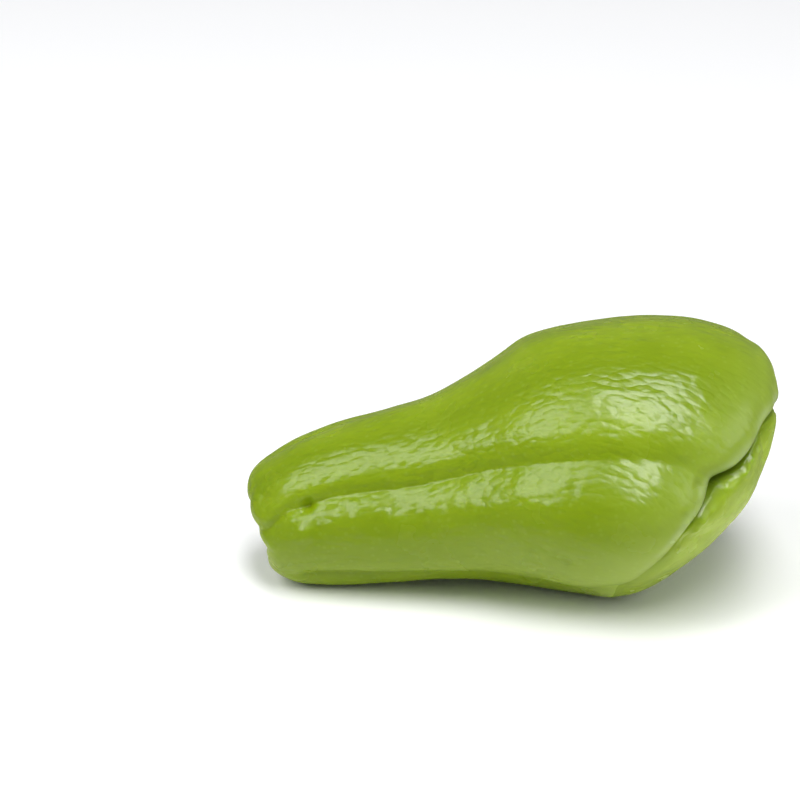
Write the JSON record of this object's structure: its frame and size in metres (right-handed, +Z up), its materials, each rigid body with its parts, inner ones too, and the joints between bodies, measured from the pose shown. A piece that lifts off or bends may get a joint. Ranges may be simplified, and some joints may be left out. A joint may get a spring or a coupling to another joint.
{
  "type": "chayote squash",
  "caption": "Whole pear-shaped squash lying on its side, with lobes parted by furrows, a dimpled stem end and a puckered mouth across the broad blossom end.",
  "frame": {"origin": "middle of the fruit's bounding box, at the height of the surface it rests on", "axes": "+X from the stem end to the blossom end, +Y away from the picture's viewer, +Z up from the surface it rests on"},
  "size_m": [0.1446, 0.0896, 0.0748],
  "materials": {
    "chayote_skin": "semi-gloss waxy green skin"
  },
  "bodies": {
    "root": {"chayote_fruit": "chayote_skin"}
  },
  "joints": []
}
